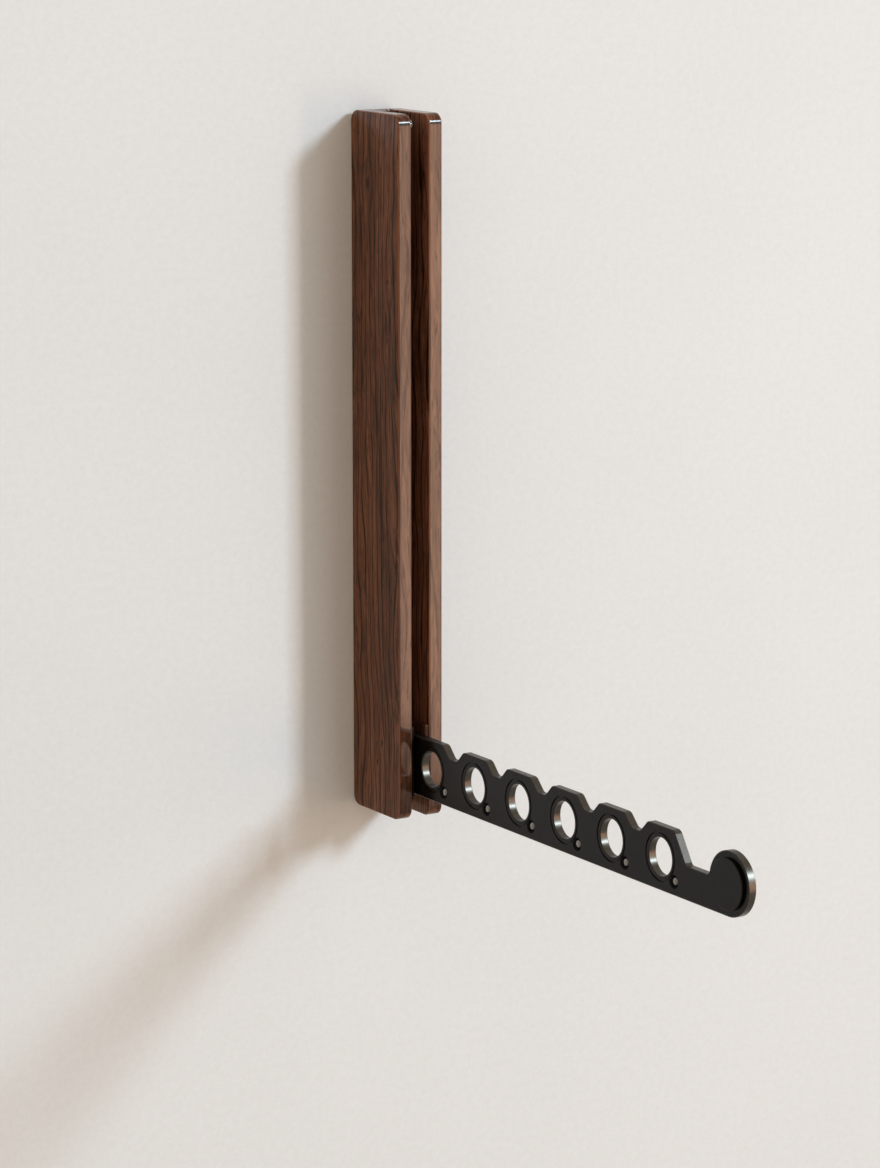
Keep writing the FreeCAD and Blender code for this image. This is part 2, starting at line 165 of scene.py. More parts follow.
def new_material(name):
    """A material with a bare Principled shader: the material, its tree and the shader."""
    material = bpy.data.materials.new(name)
    material.use_nodes = True
    tree = material.node_tree
    return material, tree, tree.nodes["Principled BSDF"]


def per_metre(size_mm):
    """The texture scale that gives features of that size."""
    return 1000.0 / size_mm


# Matt emulsion: soft roller marks and very faint clouds, and almost no gloss.
plaster, tree, shader = new_material("matt_emulsion_on_plaster")
spot = add_node(tree, "ShaderNodeTexCoord", {})
clouds = add_node(tree, "ShaderNodeTexNoise",
                  {"Vector": (spot, "Object"), "Scale": per_metre(CLOUDS_MM), "Detail": 3.0})
tone = add_node(tree, "ShaderNodeMapRange",
                {"Value": (clouds, "Fac"), "From Min": NOISE_LOW, "From Max": NOISE_HIGH,
                 "To Min": CLOUD_TONE, "To Max": 1.0})
marks = add_node(tree, "ShaderNodeTexNoise",
                 {"Vector": (spot, "Object"), "Scale": per_metre(ROLLER_MARKS_MM), "Detail": 5.0,
                  "Roughness": 0.8})
speckle = add_node(tree, "ShaderNodeMapRange",
                   {"Value": (marks, "Fac"), "From Min": NOISE_LOW, "From Max": NOISE_HIGH,
                    "To Min": ROLLER_TONE, "To Max": 1.0})
tone = add_node(tree, "ShaderNodeMath", {0: (tone, "Result"), 1: (speckle, "Result")},
                operation="MULTIPLY")
paint = add_node(tree, "ShaderNodeHueSaturation",
                 {"Value": (tone, 0), "Color": linear(PLASTER_COLOUR)})
relief = add_node(tree, "ShaderNodeBump",
                  {"Height": (marks, "Fac"), "Strength": ROLLER_RELIEF_SHARE,
                   "Distance": ROLLER_RELIEF_MM / 1000})
tree.links.new(paint.outputs["Color"], shader.inputs["Base Color"])
tree.links.new(relief.outputs["Normal"], shader.inputs["Normal"])
shader.inputs["Roughness"].default_value = PLASTER_ROUGH
shader.inputs["Specular IOR Level"].default_value = PLASTER_GLOSS
side = add_node(tree, "ShaderNodeNewGeometry", {})
clear = add_node(tree, "ShaderNodeBsdfTransparent", {})
one_sided = add_node(tree, "ShaderNodeMixShader", {0: (side, "Backfacing"), 1: (shader, 0), 2: (clear, 0)})
tree.links.new(one_sided.outputs[0], tree.nodes["Material Output"].inputs["Surface"])

bpy.ops.mesh.primitive_plane_add(size=WALL_SIZE, location=(0, WALL_BEHIND, 0),
                                 rotation=(math.pi / 2, 0, 0))
wall = bpy.context.object
wall.name = "studio_wall"
bpy.ops.object.transform_apply(location=True, rotation=True, scale=True)
open_x = cad_high.x - OPEN_INSET
open_z = cad_high.z - OPEN_INSET
bpy.ops.object.mode_set(mode="EDIT")
for place, way in (((open_x, 0, 0), (1, 0, 0)), ((-open_x, 0, 0), (1, 0, 0)),
                   ((0, 0, open_z), (0, 0, 1)), ((0, 0, -open_z), (0, 0, 1))):
    bpy.ops.mesh.select_all(action="SELECT")
    bpy.ops.mesh.bisect(plane_co=place, plane_no=way)
bpy.ops.mesh.select_all(action="DESELECT")
bpy.ops.object.mode_set(mode="OBJECT")
for face in wall.data.polygons:
    face.select = abs(face.center.x) < open_x and abs(face.center.z) < open_z
bpy.ops.object.mode_set(mode="EDIT")
bpy.ops.mesh.select_mode(type="FACE")
bpy.ops.mesh.delete(type="FACE")
bpy.ops.object.mode_set(mode="OBJECT")
wall.data.materials.append(plaster)

# Pale screed: a sealed cement floor, a little darker than the wall.
screed, tree, shader = new_material("pale_cement_screed")
spot = add_node(tree, "ShaderNodeTexCoord", {})
clouds = add_node(tree, "ShaderNodeTexNoise",
                  {"Vector": (spot, "Object"), "Scale": per_metre(CLOUDS_MM), "Detail": 5.0})
tone = add_node(tree, "ShaderNodeMapRange",
                {"Value": (clouds, "Fac"), "From Min": NOISE_LOW, "From Max": NOISE_HIGH,
                 "To Min": SCREED_TONE, "To Max": 1.0})
tint = add_node(tree, "ShaderNodeHueSaturation",
                {"Value": (tone, "Result"), "Color": linear(SCREED_COLOUR)})
tree.links.new(tint.outputs["Color"], shader.inputs["Base Color"])
shader.inputs["Roughness"].default_value = SCREED_ROUGH
shader.inputs["Specular IOR Level"].default_value = SCREED_GLOSS

bpy.ops.object.select_all(action="DESELECT")
bpy.ops.mesh.primitive_plane_add(size=2 * WALL_SIZE, location=(0, WALL_BEHIND - WALL_SIZE, -FLOOR_BELOW))
floor = bpy.context.object
floor.name = "studio_floor"
bpy.ops.object.transform_apply(location=True, rotation=True, scale=True)
floor.data.materials.append(screed)


# ---- cheeks, spine and root pads
# Solid American walnut boards, planed, rounded over and sprayed with clear satin lacquer. The spine and
# the pads are glued between the cheeks. Each of the three boards has its own grain. Front and back edges
# are darkened as painted shade, and all that lies within the slot's width is paler and greyer as painted
# light.
WALNUT_DARK = "#241208"
WALNUT_MIDDLE = "#62361D"
WALNUT_LIGHT = "#835030"
LATE_WOOD_COLOUR = "#140904"
PORE_COLOUR = "#160A05"
ARRIS_HIGHLIGHT_COLOUR = "#8C522E"
WAVER_MM = 38.46             # the slow bends of the grain across the board
WAVER_LONG_MM = 166.7
WAVER_REACH = 0.03
RING_SPACING_MM = 4.8
LATE_WOOD_FROM = 0.76        # a ring turns dark between these shares of its width
LATE_WOOD_TO = 0.9
STREAK_MM = 1.6
FIGURE_MM = 12.0
FIGURE_SHARE = 0.6
PORE_MM = 0.9
LONG_GRAIN = (1, 1, 0.035)
SHORT_GRAIN = (1, 1, 0.08)
DARKEST_FIGURE = 0.54
LIGHTEST_FIGURE = 1.02
BREAKS_FROM = 0.4            # pale streaks break the lines up
BREAKS_TO = 0.65
BROKEN_LINE = 0.65
PORES_FROM = 0.6
PORES_TO = 0.7
PORE_DARKNESS = 0.65
KNOT_LIE = (0, 1, 0.55)      # knots are flat on the board's face, and taller than they are wide
KNOT_PULL = 5                # in radii of the knot, as the next two
KNOT_HEART = 0.4
KNOT_RIM = 1.4
KNOT_DARKNESS = 0.9
FRONT_FROM = 0.9             # how squarely a front or back edge faces forwards where its painted shade and fainter lines begin
FRONT_TO = 0.98
FRONT_PAINTED_SHADE = 0.42
FRONT_LINES = 0.5
FLAT_FROM = 0.92             # how squarely a face lies where the painted arris highlight begins
FLAT_TO = 0.99
ARRIS_HIGHLIGHT_SHARE = 0.55
SLOT_WALL_DEPTH = 0.00075    # how far beyond the slot's width the painted light on its walls reaches
SLOT_PAINTED_LIGHT = 1.35
SLOT_PAINTED_LIGHT_SATURATION = 0.86
WOOD_ROUGH = 0.55
WOOD_GLOSS = 0.1
LACQUER_ROUGH = 0.08
LACQUER_IOR = 1.36
SUNK_LACQUER = 0.5
SOAKED_LACQUER = 0.66
slot_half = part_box("right_cheek")[0][0]


def swing_round_knots(tree, spot, knots):
    """Bends the grain round the knots: the bent place, and how dark the knots make it (None without)."""
    flow = (spot, "Object")
    shade = None
    for place, radius in knots:
        away = add_node(tree, "ShaderNodeVectorMath", {0: (spot, "Object"), 1: place},
                        operation="SUBTRACT")
        flat = add_node(tree, "ShaderNodeVectorMath", {0: (away, 0), 1: KNOT_LIE},
                        operation="MULTIPLY")
        far = add_node(tree, "ShaderNodeVectorMath", {0: (flat, 0)}, operation="LENGTH")
        near = add_node(tree, "ShaderNodeMapRange",
                        {"Value": (far, "Value"), "From Max": KNOT_PULL * radius, "To Min": 1.0,
                         "To Max": 0.0},
                        interpolation_type="SMOOTHSTEP")
        push = add_node(tree, "ShaderNodeVectorMath", {0: (flat, 0), "Scale": (near, "Result")},
                        operation="SCALE")
        bent = add_node(tree, "ShaderNodeVectorMath", {0: flow, 1: (push, 0)}, operation="SUBTRACT")
        flow = (bent, 0)
        dark = add_node(tree, "ShaderNodeMapRange",
                        {"Value": (far, "Value"), "From Min": KNOT_HEART * radius,
                         "From Max": KNOT_RIM * radius, "To Min": KNOT_DARKNESS, "To Max": 0.0})
        if shade is None:
            shade = (dark, "Result")
        else:
            both = add_node(tree, "ShaderNodeMath", {0: shade, 1: (dark, "Result")},
                            operation="MAXIMUM")
            shade = (both, 0)
    return flow, shade


def board_figure(tree, flow, heart, lean):
    """The figure of one board: the nodes that give its tone, its dark late-wood lines and its pores."""
    board = add_node(tree, "ShaderNodeMapping",
                     {"Vector": flow, "Location": heart, "Rotation": (math.radians(lean), 0, 0)})
    slow = add_node(tree, "ShaderNodeMapping",
                    {"Vector": (board, 0),
                     "Scale": (per_metre(WAVER_MM), per_metre(WAVER_MM), per_metre(WAVER_LONG_MM))})
    waver = add_node(tree, "ShaderNodeTexNoise", {"Vector": (slow, 0), "Scale": 1.0, "Detail": 2.0})
    waver = add_node(tree, "ShaderNodeVectorMath", {0: (waver, "Color"), 1: (0.5, 0.5, 0.5)},
                     operation="SUBTRACT")
    waver = add_node(tree, "ShaderNodeVectorMath", {0: (waver, 0), 1: (WAVER_REACH, WAVER_REACH, 0)},
                     operation="MULTIPLY")
    grain = add_node(tree, "ShaderNodeVectorMath", {0: (board, 0), 1: (waver, 0)}, operation="ADD")
    rings = add_node(tree, "ShaderNodeTexWave",
                     {"Vector": (grain, 0), "Scale": math.tau / 20 * per_metre(RING_SPACING_MM),
                      "Distortion": 1.0, "Detail": 3.0, "Detail Scale": 0.5},
                     wave_type="RINGS", rings_direction="Z", wave_profile="SAW")
    long_way = add_node(tree, "ShaderNodeMapping", {"Vector": (grain, 0), "Scale": LONG_GRAIN})
    streaks = add_node(tree, "ShaderNodeTexNoise",
                       {"Vector": (long_way, 0), "Scale": per_metre(STREAK_MM), "Detail": 3.0,
                        "Roughness": 0.7})
    figure = add_node(tree, "ShaderNodeTexNoise",
                      {"Vector": (long_way, 0), "Scale": per_metre(FIGURE_MM), "Detail": 2.0})
    tone = add_node(tree, "ShaderNodeMath",
                    {0: (figure, "Fac"), 1: FIGURE_SHARE, 2: (streaks, "Fac")},
                    operation="MULTIPLY_ADD")
    tone = add_node(tree, "ShaderNodeMapRange",
                    {"Value": (tone, 0), "From Min": DARKEST_FIGURE, "From Max": LIGHTEST_FIGURE})
    late = add_node(tree, "ShaderNodeMapRange",
                    {"Value": (rings, "Fac"), "From Min": LATE_WOOD_FROM, "From Max": LATE_WOOD_TO,
                     "To Max": 1.0})
    broken = add_node(tree, "ShaderNodeMapRange",
                      {"Value": (streaks, "Fac"), "From Min": BREAKS_FROM, "From Max": BREAKS_TO,
                       "To Min": 1.0, "To Max": BROKEN_LINE})
    late = add_node(tree, "ShaderNodeMath", {0: (late, "Result"), 1: (broken, "Result")},
                    operation="MULTIPLY")
    short_way = add_node(tree, "ShaderNodeMapping", {"Vector": (grain, 0), "Scale": SHORT_GRAIN})
    pores = add_node(tree, "ShaderNodeTexNoise",
                     {"Vector": (short_way, 0), "Scale": per_metre(PORE_MM), "Detail": 1.0})
    pores = add_node(tree, "ShaderNodeMapRange",
                     {"Value": (pores, "Fac"), "From Min": PORES_FROM, "From Max": PORES_TO,
                      "To Max": PORE_DARKNESS})
    return tone, late, pores


# Walnut: warm dark brown with near-black late-wood lines and short dark pores, drawn several times as
# coarse as real ones, which would be too fine to show. The lacquer lies thinner over lines, pores and dark
# wood, so the sheen breaks up along the grain, and the arrises carry a paler brown as a painted highlight.
def walnut(name, heart, lean, knots=(), lacquered=True, painted_shade_tone=1.0, arris_highlight=ARRIS_HIGHLIGHT_SHARE):
    """A board: heart is where the tree's middle lay from it, lean its tilt in degrees, and knots are
    (place, radius) of small ones."""
    material, tree, shader = new_material(name)
    spot = add_node(tree, "ShaderNodeTexCoord", {})
    flow, knot_shade = swing_round_knots(tree, spot, knots)
    wood_tone, late, pores = board_figure(tree, flow, heart, lean)
    lie = add_node(tree, "ShaderNodeVectorMath", {0: (spot, "Normal")}, operation="ABSOLUTE")
    lie = add_node(tree, "ShaderNodeSeparateXYZ", {0: (lie, 0)})

    wood = add_node(tree, "ShaderNodeValToRGB", {"Fac": (wood_tone, "Result")},
                    stops=[(0.0, linear(WALNUT_DARK)), (1.0, linear(WALNUT_LIGHT)),
                           (0.5, linear(WALNUT_MIDDLE))])
    on_front = add_node(tree, "ShaderNodeMapRange",
                        {"Value": (lie, "Y"), "From Min": FRONT_FROM, "From Max": FRONT_TO,
                         "To Min": 1.0, "To Max": FRONT_LINES})
    late = add_node(tree, "ShaderNodeMath", {0: (late, 0), 1: (on_front, "Result")},
                    operation="MULTIPLY")
    colour = add_node(tree, "ShaderNodeMix",
                      {"Factor": (late, 0), 6: (wood, "Color"), 7: linear(LATE_WOOD_COLOUR)},
                      data_type="RGBA")
    colour = add_node(tree, "ShaderNodeMix",
                      {"Factor": (pores, "Result"), 6: (colour, 2), 7: linear(PORE_COLOUR)},
                      data_type="RGBA")
    if knot_shade:
        colour = add_node(tree, "ShaderNodeMix",
                          {"Factor": knot_shade, 6: (colour, 2), 7: linear(PORE_COLOUR)},
                          data_type="RGBA")

    round_way = add_node(tree, "ShaderNodeCombineXYZ", {"Y": (lie, "Y"), "Z": (lie, "Z")})
    round_way = add_node(tree, "ShaderNodeVectorMath", {0: (round_way, 0)}, operation="LENGTH")
    flat = add_node(tree, "ShaderNodeMath", {0: (lie, "X"), 1: (round_way, "Value")},
                    operation="MAXIMUM")
    # Painted highlight: the rounded arrises are mixed towards a paler brown.
    arris_highlight_mask = add_node(tree, "ShaderNodeMapRange",
                     {"Value": (flat, 0), "From Min": FLAT_FROM, "From Max": FLAT_TO, "To Min": arris_highlight,
                      "To Max": 0.0})
    colour = add_node(tree, "ShaderNodeMix",
                      {"Factor": (arris_highlight_mask, "Result"), 6: (colour, 2), 7: linear(ARRIS_HIGHLIGHT_COLOUR)},
                      data_type="RGBA")

    # Painted shade: faces that look forwards or backwards are darkened, and painted_shade_tone darkens the
    # pads all over.
    front = add_node(tree, "ShaderNodeMapRange",
                     {"Value": (lie, "Y"), "From Min": FRONT_FROM, "From Max": FRONT_TO,
                      "To Min": painted_shade_tone, "To Max": painted_shade_tone * FRONT_PAINTED_SHADE})
    # Painted light: everything within the slot's width, its walls, the spine and the pads, is lightened
    # and greyed.
    place = add_node(tree, "ShaderNodeSeparateXYZ", {0: (spot, "Object")})
    off_middle = add_node(tree, "ShaderNodeMath", {0: (place, "X")}, operation="ABSOLUTE")
    in_slot = add_node(tree, "ShaderNodeMath", {0: (off_middle, 0), 1: slot_half + SLOT_WALL_DEPTH},
                       operation="LESS_THAN")
    slot_light = add_node(tree, "ShaderNodeMapRange",
                         {"Value": (in_slot, 0), "To Min": 1.0, "To Max": SLOT_PAINTED_LIGHT})
    slot_light_hue = add_node(tree, "ShaderNodeMapRange",
                        {"Value": (in_slot, 0), "To Min": 1.0, "To Max": SLOT_PAINTED_LIGHT_SATURATION})
    painted_light_and_shade = add_node(tree, "ShaderNodeMath", {0: (front, "Result"), 1: (slot_light, "Result")},
                         operation="MULTIPLY")
    colour = add_node(tree, "ShaderNodeHueSaturation",
                      {"Value": (painted_light_and_shade, 0), "Saturation": (slot_light_hue, "Result"), "Color": (colour, 2)})
    tree.links.new(colour.outputs["Color"], shader.inputs["Base Color"])
    shader.inputs["Roughness"].default_value = WOOD_ROUGH
    shader.inputs["Specular IOR Level"].default_value = WOOD_GLOSS

    if lacquered:
        sunk = add_node(tree, "ShaderNodeMath", {0: (late, 0), 1: (pores, "Result")},
                        operation="MAXIMUM")
        film = add_node(tree, "ShaderNodeMapRange",
                        {"Value": (sunk, 0), "To Min": 1.0, "To Max": SUNK_LACQUER})
        soaked = add_node(tree, "ShaderNodeMapRange",
                          {"Value": (wood_tone, "Result"), "To Min": SOAKED_LACQUER, "To Max": 1.0})
        film = add_node(tree, "ShaderNodeMath", {0: (film, "Result"), 1: (soaked, "Result")},
                        operation="MULTIPLY")
        tree.links.new(film.outputs[0], shader.inputs["Coat Weight"])
        shader.inputs["Coat Roughness"].default_value = LACQUER_ROUGH
        shader.inputs["Coat IOR"].default_value = LACQUER_IOR
    return material


def finish_node(node, material):
    """Gives a sub-part its finish."""
    for slot in nodes[node].material_slots:
        slot.material = material


left_outside = cad_low.x
left_knots = (((left_outside, -0.018, 0.160), 0.0022),
              ((left_outside, -0.032, -0.158), 0.0010),
              ((left_outside, -0.027, -0.170), 0.0010))
finish_node("left_cheek", walnut("lacquered_walnut_left", (0.045, 0.075, 0.02), 1.6, left_knots))
finish_node("right_cheek", walnut("lacquered_walnut_right", (0.12, 0.16, 0.5), -0.5))
finish_node("back_spine", walnut("lacquered_walnut_spine", (0.3, 0.06, 0.9), 0.5))
# The pads are left without lacquer, and their colour is darkened as painted shade: the left one to near
# black, the right one to half.
finish_node("left_root_pad", walnut("walnut_with_painted_black_shade", (0.2, 0.13, 1.4), 0.0,
                                    lacquered=False, painted_shade_tone=0.08, arris_highlight=0.0))
finish_node("right_root_pad", walnut("walnut_with_painted_shade", (0.2, 0.13, 1.4), 0.0,
                                     lacquered=False, painted_shade_tone=0.5, arris_highlight=0.0))


# ---- arm
# One blade cut from 5 mm steel plate and sprayed satin black. Its sawn edges and hole walls are
# burnished to a dark grey metal, with painted shade where they lie level, its chamfers are half bare, and
# the walls of its grooves and boss that don't face sideways are painted darker still as shade.
BLACK_COLOUR = "#0B0908"
GROOVE_SHADE_COLOUR = "#050505"
BURNISHED_COLOUR = "#57534D"
BLADE_HALF = 0.00252         # just over half the blade: what stands prouder is the boss
BURNISHED_HALF = 0.00202     # half the sawn edge between its chamfers
SIDE_FROM = 0.9              # how squarely a surface faces sideways where the side's paint begins
SIDE_TO = 0.96
EDGE_LIE = 0.4               # a sawn edge faces sideways less than this
CHAMFER_LIE = 0.707
CHAMFER_SPREAD = 0.12
CHAMFER_METAL = 0.45
RIM_LIE = 0.55               # the boss's rounded rim
RIM_SPREAD = 0.35
RIM_METAL = 0.2
LEVEL_FROM = 0.85
LEVEL_PAINTED_SHADE = 0.5
BRUSH_MM = 0.45
BRUSH_WAY = (0.35, 1, 1)
BRUSH_LOW = 0.25
BRUSH_HIGH = 0.75
STEEL_DARKEST = 0.7
STEEL_PALEST = 1.3
STEEL_SMOOTH = 0.22
STEEL_ROUGH = 0.42
SIDE_ROUGH = 0.2
GROOVE_ROUGH = 0.6
BOSS_ROUGH = 0.35
PAINT_GLOSS = 0.16
METAL_SHARE = 0.9

# Satin black paint gives soft dim reflections, and burnished steel a streak of light across each edge.
# Its saw marks are drawn a few times as coarse as real ones, which would be too fine to show.
black_steel, tree, shader = new_material("satin_black_and_burnished_steel")
spot = add_node(tree, "ShaderNodeTexCoord", {})
lie = add_node(tree, "ShaderNodeSeparateXYZ", {0: (spot, "Normal")})
sideways = add_node(tree, "ShaderNodeMath", {0: (lie, "X")}, operation="ABSOLUTE")
place = add_node(tree, "ShaderNodeSeparateXYZ", {0: (spot, "Object")})
off_middle = add_node(tree, "ShaderNodeMath", {0: (place, "X")}, operation="ABSOLUTE")
on_side = add_node(tree, "ShaderNodeMapRange",
                   {"Value": (sideways, 0), "From Min": SIDE_FROM, "From Max": SIDE_TO})
inside = add_node(tree, "ShaderNodeMath", {0: (off_middle, 0), 1: BURNISHED_HALF},
                  operation="LESS_THAN")
upright = add_node(tree, "ShaderNodeMath", {0: (sideways, 0), 1: EDGE_LIE}, operation="LESS_THAN")
bare = add_node(tree, "ShaderNodeMath", {0: (inside, 0), 1: (upright, 0)}, operation="MULTIPLY")
slanted = add_node(tree, "ShaderNodeMath", {0: (sideways, 0), 1: CHAMFER_LIE, 2: CHAMFER_SPREAD},
                   operation="COMPARE")
on_blade = add_node(tree, "ShaderNodeMath", {0: (off_middle, 0), 1: BLADE_HALF}, operation="LESS_THAN")
chamfer = add_node(tree, "ShaderNodeMath", {0: (slanted, 0), 1: (on_blade, 0)}, operation="MULTIPLY")
bare = add_node(tree, "ShaderNodeMath", {0: (chamfer, 0), 1: CHAMFER_METAL, 2: (bare, 0)},
                operation="MULTIPLY_ADD")
proud = add_node(tree, "ShaderNodeMath", {0: (off_middle, 0), 1: BLADE_HALF}, operation="GREATER_THAN")
rounded = add_node(tree, "ShaderNodeMath", {0: (sideways, 0), 1: RIM_LIE, 2: RIM_SPREAD},
                   operation="COMPARE")
rim = add_node(tree, "ShaderNodeMath", {0: (rounded, 0), 1: (proud, 0)}, operation="MULTIPLY")
bare = add_node(tree, "ShaderNodeMath", {0: (rim, 0), 1: RIM_METAL, 2: (bare, 0)},
                operation="MULTIPLY_ADD")
bare = add_node(tree, "ShaderNodeMath", {0: (bare, 0), 1: 1.0}, operation="MINIMUM")
# Painted shade: the burnished edges that lie level are darkened.
level_shade = add_node(tree, "ShaderNodeMath", {0: (lie, "Z")}, operation="ABSOLUTE")
level_shade = add_node(tree, "ShaderNodeMapRange",
                 {"Value": (level_shade, 0), "From Min": LEVEL_FROM, "From Max": 1.0, "To Min": 1.0,
                  "To Max": LEVEL_PAINTED_SHADE})
across = add_node(tree, "ShaderNodeMapping", {"Vector": (spot, "Object"), "Scale": BRUSH_WAY})
brush = add_node(tree, "ShaderNodeTexNoise",
                 {"Vector": (across, 0), "Scale": per_metre(BRUSH_MM), "Detail": 3.0, "Roughness": 0.7})
steel_tone = add_node(tree, "ShaderNodeMapRange",
                      {"Value": (brush, "Fac"), "From Min": BRUSH_LOW, "From Max": BRUSH_HIGH,
                       "To Min": STEEL_DARKEST, "To Max": STEEL_PALEST})
steel_tone = add_node(tree, "ShaderNodeMath", {0: (steel_tone, "Result"), 1: (level_shade, "Result")},
                      operation="MULTIPLY")
steel = add_node(tree, "ShaderNodeHueSaturation",
                 {"Value": (steel_tone, 0), "Color": linear(BURNISHED_COLOUR)})
# Painted shade: paint that doesn't face sideways, on the walls of the grooves and boss, is near black.
paint = add_node(tree, "ShaderNodeMix",
                 {"Factor": (on_side, "Result"), 6: linear(GROOVE_SHADE_COLOUR), 7: linear(BLACK_COLOUR)},
                 data_type="RGBA")
colour = add_node(tree, "ShaderNodeMix",
                  {"Factor": (bare, 0), 6: (paint, 2), 7: (steel, "Color")}, data_type="RGBA")
off_side = add_node(tree, "ShaderNodeMapRange",
                    {"Value": (proud, 0), "To Min": GROOVE_ROUGH, "To Max": BOSS_ROUGH})
paint_rough = add_node(tree, "ShaderNodeMapRange",
                       {"Value": (on_side, "Result"), "To Min": (off_side, "Result"),
                        "To Max": SIDE_ROUGH})
grit = add_node(tree, "ShaderNodeMapRange",
                {"Value": (brush, "Fac"), "To Min": STEEL_SMOOTH, "To Max": STEEL_ROUGH})
rough = add_node(tree, "ShaderNodeMix",
                 {"Factor": (bare, 0), 2: (paint_rough, "Result"), 3: (grit, "Result")})
metal_share = add_node(tree, "ShaderNodeMath", {0: (bare, 0), 1: METAL_SHARE}, operation="MULTIPLY")
tree.links.new(colour.outputs[2], shader.inputs["Base Color"])
tree.links.new(metal_share.outputs[0], shader.inputs["Metallic"])
tree.links.new(rough.outputs[0], shader.inputs["Roughness"])
shader.inputs["Specular IOR Level"].default_value = PAINT_GLOSS
finish_node("valet_arm", black_steel)


# ---- small metal parts
# Turned and ground steel, brass and bronze parts of the pivot and the catch, all bought in. Polished steel
# mirrors sharply, zinc plate is paler and softer, and the sintered sleeve is warm and dull.
TOOL_MARKS_MM = 0.3
MARK_DARK = 0.9
MARK_PALE = 1.1
MARK_SMOOTH = 0.7
MARK_ROUGH = 1.3


def metal(name, colour, rough):
    """A plain machined metal with fine tool marks."""
    material, tree, shader = new_material(name)
    spot = add_node(tree, "ShaderNodeTexCoord", {})
    marks = add_node(tree, "ShaderNodeTexNoise",
                     {"Vector": (spot, "Object"), "Scale": per_metre(TOOL_MARKS_MM), "Detail": 2.0})
    tone = add_node(tree, "ShaderNodeMapRange",
                    {"Value": (marks, "Fac"), "To Min": MARK_DARK, "To Max": MARK_PALE})
    tint = add_node(tree, "ShaderNodeHueSaturation",
                    {"Value": (tone, "Result"), "Color": linear(colour)})
    grit = add_node(tree, "ShaderNodeMapRange",
                    {"Value": (marks, "Fac"), "To Min": rough * MARK_SMOOTH, "To Max": rough * MARK_ROUGH})
    tree.links.new(tint.outputs["Color"], shader.inputs["Base Color"])
    tree.links.new(grit.outputs["Result"], shader.inputs["Roughness"])
    shader.inputs["Metallic"].default_value = 1.0
    return material


polished_steel = metal("polished_stainless_steel", "#7C7A77", 0.15)
satin_steel = metal("zinc_plated_steel", "#B9BABB", 0.32)
spring_steel = metal("spring_steel", "#8E8F92", 0.3)
brass = metal("turned_brass", "#D0A85E", 0.25)
bronze = metal("sintered_bronze", "#A9753F", 0.45)
finish_node("catch_plunger", polished_steel)
for node in ("pivot_pin", "heel_plate", "heel_plate_screws", "catch_barrel"):
    finish_node(node, satin_steel)
for node in ("disc_spring", "catch_spring"):
    finish_node(node, spring_steel)
for node in ("left_pivot_bush", "right_pivot_bush"):
    finish_node(node, brass)
finish_node("arm_pivot_sleeve", bronze)


# ---- hook studs
# Small stainless pins pressed into sinks beside the holes, their ends turned to a ball and polished.
# The solids are flatter domes, and only the shading rounds each head fully.
STUD_COUNT = 6
STUD_COLOUR = "#8A8884"
STUD_ROUGH = 0.13
POLISH_MARKS_MM = 0.5
POLISH_DARK = 0.85
POLISH_PALE = 1.15
ROUND_SHARE = 0.97           # how near the shading comes to a full half ball at the head's rim
LEAST_RISE = 0.03

stud_low, stud_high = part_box("hook_studs")
stud_radius = (stud_high[2] - stud_low[2]) / 2
stud_pitch = (stud_high[1] - stud_low[1] - 2 * stud_radius) / (STUD_COUNT - 1)
turned_steel, tree, shader = new_material("turned_stainless_steel")
spot = add_node(tree, "ShaderNodeTexCoord", {})
lie = add_node(tree, "ShaderNodeSeparateXYZ", {0: (spot, "Normal")})
place = add_node(tree, "ShaderNodeVectorMath",
                 {0: (spot, "Object"), 1: (0, stud_low[1] + stud_radius, stud_low[2] + stud_radius)},
                 operation="SUBTRACT")
place = add_node(tree, "ShaderNodeSeparateXYZ", {0: (place, 0)})
along = add_node(tree, "ShaderNodeMath", {0: (place, "Y"), 1: -stud_pitch / 2, 2: stud_pitch / 2},
                 operation="WRAP")
round_it = add_node(tree, "ShaderNodeCombineXYZ", {"Y": (along, 0), "Z": (place, "Z")})
round_it = add_node(tree, "ShaderNodeVectorMath", {0: (round_it, 0), "Scale": ROUND_SHARE / stud_radius},
                    operation="SCALE")
rise = add_node(tree, "ShaderNodeVectorMath", {0: (round_it, 0), 1: (round_it, 0)},
                operation="DOT_PRODUCT")
rise = add_node(tree, "ShaderNodeMath", {0: 1.0, 1: (rise, "Value")}, operation="SUBTRACT")
rise = add_node(tree, "ShaderNodeMath", {0: (rise, 0), 1: LEAST_RISE}, operation="MAXIMUM")
rise = add_node(tree, "ShaderNodeMath", {0: (rise, 0)}, operation="SQRT")
rise = add_node(tree, "ShaderNodeMath", {0: (rise, 0), 1: (lie, "X")}, operation="MULTIPLY")
rise = add_node(tree, "ShaderNodeCombineXYZ", {"X": (rise, 0)})
round_it = add_node(tree, "ShaderNodeVectorMath", {0: (round_it, 0), 1: (rise, 0)}, operation="ADD")
round_it = add_node(tree, "ShaderNodeVectorTransform", {0: (round_it, 0)}, vector_type="NORMAL",
                    convert_from="OBJECT", convert_to="WORLD")
round_it = add_node(tree, "ShaderNodeVectorMath", {0: (round_it, 0)}, operation="NORMALIZE")
marks = add_node(tree, "ShaderNodeTexNoise",
                 {"Vector": (spot, "Object"), "Scale": per_metre(POLISH_MARKS_MM), "Detail": 2.0})
tone = add_node(tree, "ShaderNodeMapRange",
                {"Value": (marks, "Fac"), "To Min": POLISH_DARK, "To Max": POLISH_PALE})
tint = add_node(tree, "ShaderNodeHueSaturation",
                {"Value": (tone, "Result"), "Color": linear(STUD_COLOUR)})
tree.links.new(tint.outputs["Color"], shader.inputs["Base Color"])
tree.links.new(round_it.outputs[0], shader.inputs["Normal"])
shader.inputs["Metallic"].default_value = 1.0
shader.inputs["Roughness"].default_value = STUD_ROUGH
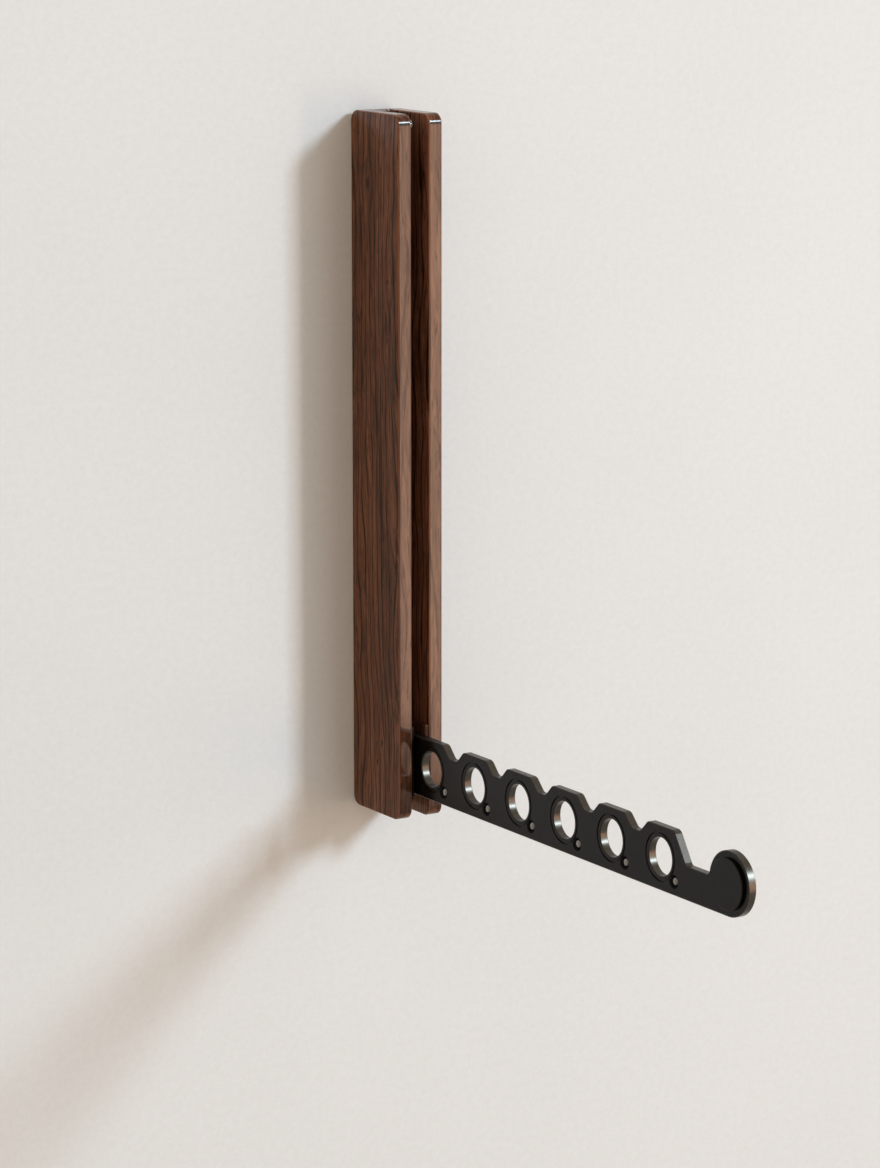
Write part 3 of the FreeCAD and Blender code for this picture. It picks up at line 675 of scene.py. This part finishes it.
finish_node("hook_studs", turned_steel)


# ---- cross dowels
# Plain 5 mm beech dowels that lock the spine between the cheeks. Pale, with short flecks that run along
# them.
BEECH_DARK = "#A8794E"
BEECH_LIGHT = "#D2AC80"
BEECH_ROUGH = 0.6
FLECK_MM = 0.8
FLECK_WAY = (0.1, 1, 1)

beech, tree, shader = new_material("planed_beech")
spot = add_node(tree, "ShaderNodeTexCoord", {})
along = add_node(tree, "ShaderNodeMapping", {"Vector": (spot, "Object"), "Scale": FLECK_WAY})
flecks = add_node(tree, "ShaderNodeTexNoise",
                  {"Vector": (along, 0), "Scale": per_metre(FLECK_MM), "Detail": 3.0})
wood = add_node(tree, "ShaderNodeValToRGB", {"Fac": (flecks, "Fac")},
                stops=[(NOISE_LOW, linear(BEECH_DARK)), (NOISE_HIGH, linear(BEECH_LIGHT))])
tree.links.new(wood.outputs["Color"], shader.inputs["Base Color"])
shader.inputs["Roughness"].default_value = BEECH_ROUGH
finish_node("cross_dowels", beech)


# ---- thrust washers
# Cast nylon rings that keep the arm off the pads. Waxy and off-white, a little rough from the cutter.
NYLON_DARK = "#D8D3C6"
NYLON_LIGHT = "#ECE8DD"
NYLON_SMOOTH = 0.35
NYLON_ROUGH = 0.55
CUTTER_MARKS_MM = 0.4

nylon, tree, shader = new_material("cast_nylon")
spot = add_node(tree, "ShaderNodeTexCoord", {})
cutter = add_node(tree, "ShaderNodeTexNoise",
                  {"Vector": (spot, "Object"), "Scale": per_metre(CUTTER_MARKS_MM), "Detail": 2.0})
wax = add_node(tree, "ShaderNodeValToRGB", {"Fac": (cutter, "Fac")},
               stops=[(NOISE_LOW, linear(NYLON_DARK)), (NOISE_HIGH, linear(NYLON_LIGHT))])
grit = add_node(tree, "ShaderNodeMapRange",
                {"Value": (cutter, "Fac"), "To Min": NYLON_SMOOTH, "To Max": NYLON_ROUGH})
tree.links.new(wax.outputs["Color"], shader.inputs["Base Color"])
tree.links.new(grit.outputs["Result"], shader.inputs["Roughness"])
for node in ("left_thrust_washer", "right_thrust_washer"):
    finish_node(node, nylon)


# ---- fold bumper
# A cut pad of pressed wool felt, glued in the slot where the folded arm meets the spine. Its matted
# fibres scatter light, so it has a soft dull face. They are drawn coarser than real ones, so they show.
FELT_DARK = "#2C2A28"
FELT_LIGHT = "#5A5650"
FELT_ROUGH = 0.95
FELT_SHEEN = 0.3
FIBRE_MM = 0.5
NAP_MM = 0.3
NAP_SHARE = 0.6

felt, tree, shader = new_material("pressed_wool_felt")
spot = add_node(tree, "ShaderNodeTexCoord", {})
fibres = add_node(tree, "ShaderNodeTexNoise",
                  {"Vector": (spot, "Object"), "Scale": per_metre(FIBRE_MM), "Detail": 5.0,
                   "Roughness": 0.75, "Distortion": 2.0})
wool = add_node(tree, "ShaderNodeValToRGB", {"Fac": (fibres, "Fac")},
                stops=[(NOISE_LOW, linear(FELT_DARK)), (NOISE_HIGH, linear(FELT_LIGHT))])
nap = add_node(tree, "ShaderNodeBump",
               {"Height": (fibres, "Fac"), "Strength": NAP_SHARE, "Distance": NAP_MM / 1000})
tree.links.new(wool.outputs["Color"], shader.inputs["Base Color"])
tree.links.new(nap.outputs["Normal"], shader.inputs["Normal"])
shader.inputs["Roughness"].default_value = FELT_ROUGH
shader.inputs["Sheen Weight"].default_value = FELT_SHEEN
finish_node("fold_bumper", felt)
